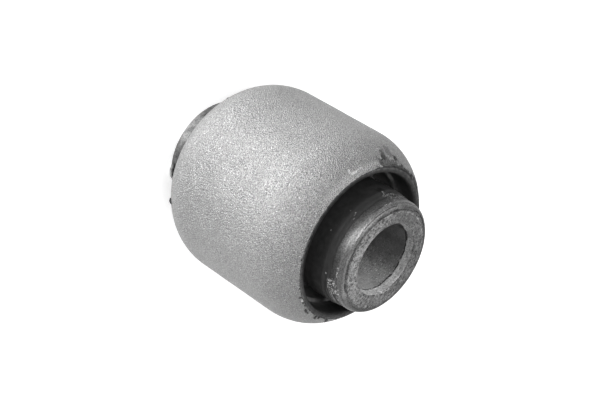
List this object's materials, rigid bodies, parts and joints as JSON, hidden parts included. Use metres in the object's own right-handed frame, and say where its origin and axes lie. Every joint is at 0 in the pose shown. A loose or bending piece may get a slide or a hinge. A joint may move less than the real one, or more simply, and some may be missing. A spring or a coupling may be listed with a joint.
{
  "type": "rubber metal bush",
  "caption": "Steel inner sleeve bonded by rubber inside a swaged steel outer sleeve, for a bolted pivot pressed into an arm",
  "frame": {"origin": "centre of the inner sleeve's lower end face, on which the bush stands", "axes": "+Z along the bush's axis, towards the upper end face; the bush is the same all round it"},
  "size_m": [0.04, 0.04, 0.0494],
  "materials": {
    "blasted_steel": "satin, fine grit-blasted grain",
    "black_rubber": "moulded, low sheen",
    "dull_steel": "dull grey phosphate, turned end faces"
  },
  "bodies": {
    "root": {"outer_sleeve": "blasted_steel", "rubber_body": "black_rubber", "inner_sleeve": "dull_steel"}
  },
  "joints": []
}
